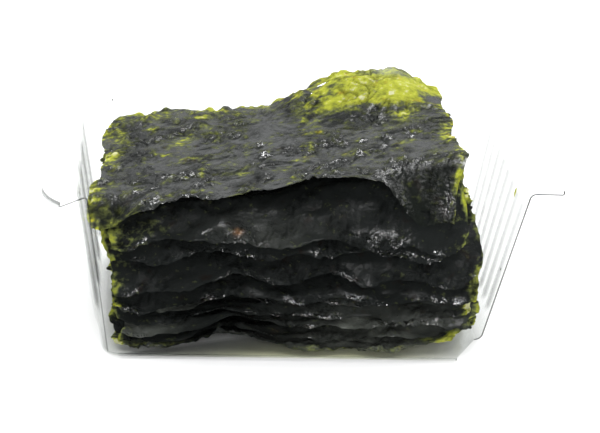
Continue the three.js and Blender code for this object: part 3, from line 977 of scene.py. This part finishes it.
def patched(patches, sheet, x, y):
    """How strongly patches of another colour show at each place, from 0 to 1."""
    unevenness, across, along = PATCH_UNEVEN
    uneven = 1 + unevenness * noise(x / across, y / along, SEEDS["patches"] + sheet)
    most = np.zeros_like(x)
    for at_x, at_y, reach_x, reach_y, strength in rows_of(patches, sheet):
        most = np.maximum(most, strength * uneven * bump(x, at_x, reach_x) * bump(y, at_y, reach_y))
    return np.clip(most, 0, 1)


def whole_cells(sheet, x, y):
    """Which cells of a sheet's grid stay, given its points' places: those outside the holes."""
    middle_x = (x[:-1, :-1] + x[1:, 1:]) / 2
    middle_y = (y[:-1, :-1] + y[1:, 1:]) / 2
    raggedness, across, along = HOLE_RAGGED
    ragged = raggedness * noise(middle_x / across, middle_y / along, SEEDS["holes"])
    keep = np.ones(middle_x.shape, dtype=bool)
    for at_x, at_y, half_length, half_width in rows_of(HOLES, sheet):
        away = np.hypot((middle_x - at_x) / half_length, (middle_y - at_y) / half_width)
        keep &= away + ragged > 1
    return keep


def sheen(sheet, x, y):
    """The part of its shine that a sheet shows: all of it apart from the top sheet's folds."""
    if sheet < TOP:
        return np.ones_like(x)
    return lerp(1, SUNK_SHEEN, rising(top_height(x, y) - sheet_height(sheet, x, y), SUNK))


def make_sheet(sheet, material):
    """One leaf: a wrinkled, torn surface closed into a thin solid, with the values its material reads."""
    columns, rows = TOP_GRID if sheet == TOP else LOWER_GRID
    p, q = np.meshgrid(np.linspace(-1, 1, columns + 1), np.linspace(-1, 1, rows + 1))
    x, y = sheet_plan(sheet, p, q)
    broad, fine, furrows = wrinkles(sheet, x, y)
    tufted = lerp(TUFTS_ELSEWHERE, 1, tufty(x)) * rising(q, (TORN_BAND, 1))
    tufts = TUFTS[0] * noise(x / TUFTS[1], NOISE_LINES["tufts"], SEEDS["tufts"] + sheet) * tufted
    z = sheet_height(sheet, x, y) + broad + fine + tufts
    points = np.stack([x, y + tray_shift(), z], axis=-1).reshape(-1, 3)
    to_edge = np.minimum((1 - np.abs(p)) * SHEET_WIDTH, (1 - np.abs(q)) * SHEET_DEPTH) / 2
    half = np.zeros_like(points)
    half[:, 2] = LEAF / 2 * lerp(KNIFE_SHARE, 1, rising(to_edge, KNIFE_EDGE)).ravel()
    faces = thicken(len(points), grid_faces(columns, rows, whole_cells(sheet, x, y)).tolist())
    name = f"seaweed_{sheet + 1:02d}"
    piece = new_piece(name, np.vstack([points + half, points - half]), faces, material, LEAF_FLAT_ANGLE)
    values = {
        "thin": thinness(sheet, p, q, x, y),
        "creased": creased(sheet, x, y),
        "furrow": furrows,
        "sheen": sheen(sheet, x, y),
        "painted_sheen": patched(SHEEN_PATCHES, sheet, x, y),
        "browned": patched(BROWNED, sheet, x, y),
        "oil": np.maximum(crumpled(sheet, x, y), oily_edge(sheet, q, x)),
    }
    for value_name, value in values.items():
        set_values(piece, value_name, np.tile(value.ravel(), 2))
    return piece


# Flakes stuck to the tray


def wall_place(side, along, up):
    """A point on a wall's inner face, and the direction in which that wall faces."""
    out = up * WALL_SPREAD / TRAY_HEIGHT - PLASTIC
    lean = WALL_SPREAD / TRAY_HEIGHT
    if side == "right":
        return Vector((FLOOR_WIDTH / 2 + out, along, up)), Vector((-1, 0, lean))
    if side == "left":
        return Vector((-FLOOR_WIDTH / 2 - out, along, up)), Vector((1, 0, lean))
    return Vector((along, FLOOR_DEPTH / 2 + out, up)), Vector((0, -1, lean))


def make_flakes(material):
    """Small uneven discs, each taller than wide, in one piece."""
    points = []
    faces = []
    thin = []
    for number, (side, along, up, size, thinness_here) in enumerate(FLAKES):
        at, facing = wall_place(side, along, up)
        facing.normalize()
        level = Vector((0, 0, 1)).cross(facing).normalized()
        upright = facing.cross(level)
        first = len(points)
        for height in (FLAKE_THICKNESS, 0):
            for corner in range(FLAKE_SIDES):
                turn = FULL_TURN * corner / FLAKE_SIDES
                uneven = float(hashed(corner, number, SEEDS["flakes"]))
                radius = size / 2 * (FLAKE_UNEVEN[0] + FLAKE_UNEVEN[1] * uneven)
                outline = FLAKE_NARROW * math.cos(turn) * level + math.sin(turn) * upright
                spot = at + radius * outline + height * facing
                points.append((spot.x, spot.y + tray_shift(), spot.z))
                thin.append(thinness_here)
        front = [first + corner for corner in range(FLAKE_SIDES)]
        back = [corner + FLAKE_SIDES for corner in front]
        faces.append(front)
        faces.append(back[::-1])
        for corner in range(FLAKE_SIDES):
            following = (corner + 1) % FLAKE_SIDES
            faces.append([front[following], front[corner], back[corner], back[following]])
    piece = new_piece("flakes", points, faces, material, FLAKE_FLAT_ANGLE)
    set_values(piece, "thin", thin)
    return piece


# Materials


class Shader:
    """The nodes of a material or of the world, with short ways to add them."""

    def __init__(self, owner):
        owner.use_nodes = True
        self.nodes = owner.node_tree.nodes
        self.links = owner.node_tree.links

    def node(self, kind, values, **settings):
        """A node with its settings, whose inputs are set to values or linked to other nodes' outputs."""
        node = self.nodes.new("ShaderNode" + kind)
        for name, value in settings.items():
            setattr(node, name, value)
        for name, value in values.items():
            if isinstance(value, bpy.types.NodeSocket):
                self.links.new(value, node.inputs[name])
            else:
                node.inputs[name].default_value = value
        return node.outputs

    def attribute(self, name):
        return self.node("Attribute", {}, attribute_name=name)["Fac"]

    def place(self):
        return self.node("TexCoord", {})["Object"]

    def noise(self, place, scale, detail, roughness=0.5):
        values = {"Vector": place, "Scale": scale, "Detail": detail, "Roughness": roughness}
        return self.node("TexNoise", values)["Fac"]

    def ramp(self, source, stops):
        """A colour for each value of the source, mixed from the stops on either side of it."""
        node = self.nodes.new("ShaderNodeValToRGB")
        elements = node.color_ramp.elements
        while len(elements) < len(stops):
            elements.new(0.5)
        for element, (place, colour) in zip(elements, stops):
            element.position = place
            element.color = (*colour, 1)
        self.links.new(source, node.inputs["Fac"])
        return node.outputs["Color"]

    def stretch(self, source, span, target):
        """A value stretched from one span to another."""
        ends = {"From Min": span[0], "From Max": span[1], "To Min": target[0], "To Max": target[1]}
        return self.node("MapRange", {"Value": source, **ends})["Result"]

    def product(self, first, second):
        return self.node("Math", {0: first, 1: second}, operation="MULTIPLY")[0]

    def blend(self, first, second, kind):
        values = {"Factor": 1.0, "A": first, "B": second}
        return self.node("Mix", values, data_type="RGBA", blend_type=kind)["Result"]

    def bump(self, height, distance, strength, normal=None):
        values = {"Height": height, "Distance": distance, "Strength": strength}
        if normal:
            values["Normal"] = normal
        return self.node("Bump", values)["Normal"]

    def mix(self, share, first, second):
        return self.node("MixShader", {"Fac": share, 1: first, 2: second})["Shader"]

    def finish(self, surface):
        self.node("OutputMaterial", {"Surface": surface})


def new_material(name):
    material = bpy.data.materials.new(name)
    shader = Shader(material)
    shader.nodes.clear()
    return material, shader


def leaf_colour(shader, mixed, toast, dark, lift):
    """The leaf's colour, from thick to thin, browner in toasted spots, greyer in patches of painted sheen,
    and darker in furrows with painted shade.
    """
    stops = [(0.0, dark), (0.16, dark)]
    # The olive is lifted on the lower sheets: painted light in their shade
    for place, colour in [(0.34, OLIVE), (0.54, LIGHT_OLIVE)]:
        stops.append((place, tuple(part * lift for part in colour)))
    stops += [(0.74, YELLOW_GREEN), (0.9, LIME), (1.0, HIGHLIGHT_CREAM)]
    green = shader.ramp(mixed, stops)
    brown = shader.ramp(toast, [(0.3, WHITE), (0.62, WHITE), (0.74, TOASTED)])
    colour = shader.blend(green, brown, "MULTIPLY")
    # Grey patches of painted sheen, and the brown spot
    for name, tint in [("painted_sheen", SHEEN_GREY), ("browned", BROWN)]:
        patch = shader.ramp(shader.attribute(name), [(0.0, BLACK), (1.0, tint)])
        colour = shader.blend(colour, patch, "ADD")
    # Painted shade in the furrows
    shaded = shader.ramp(shader.attribute("furrow"), [(0.0, WHITE), (1.0, FURROW_SHADE)])
    return shader.blend(colour, shaded, "MULTIPLY")


def seaweed_material(name, dark, shine, lift):
    """Oily leaf: dark where it is thick, yellow-green and see-through where it is thin, the yellow-green
    partly painted light from behind.
    """
    material, shader = new_material(name)
    place = shader.place()
    stretched = shader.node("Mapping", {"Vector": place, "Scale": STREAKS})["Vector"]
    streaks = shader.noise(stretched, 1.0, 5.0, 0.6)
    grain = shader.noise(place, GRAIN, 3.0, 0.6)
    toast = shader.noise(place, TOAST, 2.0)
    facets = shader.noise(place, FACETS, 1.0)
    thin = shader.attribute("thin")
    oil = shader.attribute("oil")

    # Streaks make the thinness uneven, less so where the leaf is thin
    uneven = shader.stretch(streaks, NOISE_SPAN, (-UNEVEN_GREEN, UNEVEN_GREEN))
    calmer = shader.stretch(thin, *CALMER)
    values = {0: uneven, 1: calmer, 2: thin}
    mixed = shader.node("Math", values, operation="MULTIPLY_ADD", use_clamp=True)[0]
    colour = leaf_colour(shader, mixed, toast, dark, lift)

    # Small dents where the leaf is creased, and glittering ones where it is oily
    creases = shader.stretch(shader.attribute("creased"), WHOLE, FOLDED)
    folds = shader.bump(streaks, FOLD_DEPTH, creases)
    dents = shader.bump(facets, DENT_DEPTH, shader.stretch(oil, WHOLE, GLITTER), folds)

    # Thin leaf, folds and furrows shine less, and a film of oil lies on the crumpled places
    film = shader.product(shader.stretch(toast, FILM_FROM, WHOLE), oil)
    gloss = shader.stretch(mixed, GLOSS_FROM, (shine, shine * THIN_GLOSS))
    gloss = shader.product(gloss, shader.attribute("sheen"))
    gloss = shader.product(gloss, shader.stretch(shader.attribute("furrow"), WHOLE, FURROW_GLOSS))

    leaf = shader.node("BsdfPrincipled", {
        "Base Color": colour,
        "Roughness": shader.stretch(grain, NOISE_SPAN, ROUGH),
        "IOR": 1.42,
        "Specular IOR Level": gloss,
        "Coat Weight": film,
        "Coat Roughness": 0.08,
        "Normal": dents,
        "Coat Normal": dents,
    })
    through = shader.node("BsdfTranslucent", {"Color": colour, "Normal": folds})
    share = shader.stretch(mixed, WHOLE, SEE_THROUGH)
    shader.finish(shader.mix(share, leaf["BSDF"], through["BSDF"]))
    return material


def plastic_material():
    """Thin clear plastic: painted shade along the ribs, by the floor and at the lip, a painted shadow along
    the front floor, and yellowish where oil lies on the floor.
    """
    material, shader = new_material("clear_plastic")
    # Painted shade: the plastic lets less light through along the ribs, by the floor, at the lip and in the
    # front's painted shadow
    painted_shade = shader.ramp(shader.attribute("painted_shade"), [(0.0, CLEAR), (0.3, SHADE_TINT), (1.0, DEEP_SHADE_TINT)])
    oily = shader.ramp(shader.attribute("oily"), [(0.0, WHITE), (1.0, OILY)])
    clear = shader.node("BsdfTransparent", {"Color": shader.blend(painted_shade, oily, "MULTIPLY")})
    gloss = shader.node("BsdfGlossy", {"Color": (0.95, 0.95, 0.95, 1), "Roughness": 0.08})
    facing = shader.node("LayerWeight", {"Blend": 0.5})["Facing"]
    steep = shader.node("Math", {0: facing, 1: GLANCING}, operation="POWER")[0]
    share = shader.stretch(steep, WHOLE, PLASTIC_GLOSS)
    shader.finish(shader.mix(share, clear["BSDF"], gloss["BSDF"]))
    return material


def cut_edge_material():
    """The plastic's cut edge, with painted shade: grey, dark on the right, and darker up at the flange."""
    material, shader = new_material("cut_plastic")
    place = shader.node("SeparateXYZ", {"Vector": shader.place()})
    painted_shade = shader.ramp(shader.stretch(place["X"], CUT_EDGE_SPAN, WHOLE), CUT_EDGE_SHADE)
    high = shader.ramp(shader.stretch(place["Z"], CUT_EDGE_RISE, WHOLE), [(0.0, WHITE), (1.0, CUT_EDGE_HIGH_SHADE)])
    clear = shader.node("BsdfTransparent", {"Color": shader.blend(painted_shade, high, "MULTIPLY")})
    shader.finish(clear["BSDF"])
    return material


def floor_material():
    material, shader = new_material("pale_floor")
    paint = shader.node("BsdfPrincipled", {"Base Color": (0.9, 0.9, 0.9, 1), "Roughness": 0.8})
    shader.finish(paint["BSDF"])
    return material


# The stage


def make_floor():
    mesh = bpy.data.meshes.new("floor")
    signs = [(-1, -1), (1, -1), (1, 1), (-1, 1)]
    corners = [(STAGE_REACH * across, STAGE_REACH * along, 0) for across, along in signs]
    mesh.from_pydata(corners, [], [(0, 1, 2, 3)])
    mesh.materials.append(floor_material())
    floor = bpy.data.objects.new("floor", mesh)
    bpy.context.scene.collection.objects.link(floor)
    floor.location.z = -STAGE_DROP


def make_camera():
    data = bpy.data.cameras.new("camera")
    data.sensor_fit = "HORIZONTAL"
    data.sensor_width = SENSOR_WIDTH
    data.lens = LENS
    camera = bpy.data.objects.new("camera", data)
    bpy.context.scene.collection.objects.link(camera)
    yaw, pitch, roll = (math.radians(turn) for turn in (CAMERA_YAW, CAMERA_PITCH, CAMERA_ROLL))
    forward = Vector((math.sin(yaw) * math.cos(pitch), math.cos(yaw) * math.cos(pitch), -math.sin(pitch)))
    level = Vector((math.cos(yaw), -math.sin(yaw), 0))
    upright = level.cross(forward)
    right = math.cos(roll) * level + math.sin(roll) * upright
    up = right.cross(forward)
    turn = Matrix((right, up, -forward)).transposed()
    camera.matrix_world = Matrix.Translation(Vector(CAMERA_AT) * MM) @ turn.to_4x4()
    bpy.context.scene.camera = camera


def area_light(name, at, aim, size, power, shades=True, reflects=True):
    data = bpy.data.lights.new(name, "AREA")
    data.shape = "RECTANGLE"
    data.size, data.size_y = size
    data.energy = power
    light = bpy.data.objects.new(name, data)
    bpy.context.scene.collection.objects.link(light)
    light.location = at
    light.visible_diffuse = shades
    light.visible_glossy = reflects
    light.rotation_euler = (Vector(aim) - Vector(at)).to_track_quat("-Z", "Y").to_euler()


def make_light():
    """A sky that is brightest halfway up and dim on the camera's side, and the lamps."""
    world = bpy.data.worlds.new("studio")
    shader = Shader(world)
    place = shader.node("TexCoord", {})["Generated"]
    direction = shader.node("SeparateXYZ", {"Vector": place})
    stops = [(stop, tuple(tint * light for tint in SKY_TINT)) for stop, light in SKY]
    background = shader.nodes["Background"].inputs
    shader.links.new(shader.ramp(direction["Z"], stops), background["Color"])
    share = shader.stretch(direction["Y"], CAMERA_SIDE, (CAMERA_SIDE_SHARE, 1.0))
    shader.links.new(share, background["Strength"])
    bpy.context.scene.world = world
    for name, at, aim, size, power, use in LAMPS:
        area_light(name, at, aim, size, power, **use)


# The lower sheets' copy of the leaf is painted lighter, its olive lifted, for light into their shaded fronts,
# and it shines far less than the top sheet
lower_material = seaweed_material("roasted_seaweed", dark=(0.0115, 0.013, 0.0125), shine=0.012, lift=1.8)
top_material = seaweed_material("top_seaweed", dark=(0.008, 0.0095, 0.008), shine=0.6, lift=1.0)
tray = make_tray(plastic_material(), cut_edge_material())
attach(tray, "root")
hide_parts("tray")
for number in range(SHEET_COUNT):
    leaf = make_sheet(number, top_material if number == TOP else lower_material)
    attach(leaf, "root")
    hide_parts(f"sheet_{number + 1:02d}")

flakes = make_flakes(lower_material)
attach(flakes, "root")

make_floor()
make_camera()
make_light()
bpy.context.scene.view_settings.view_transform = "Standard"
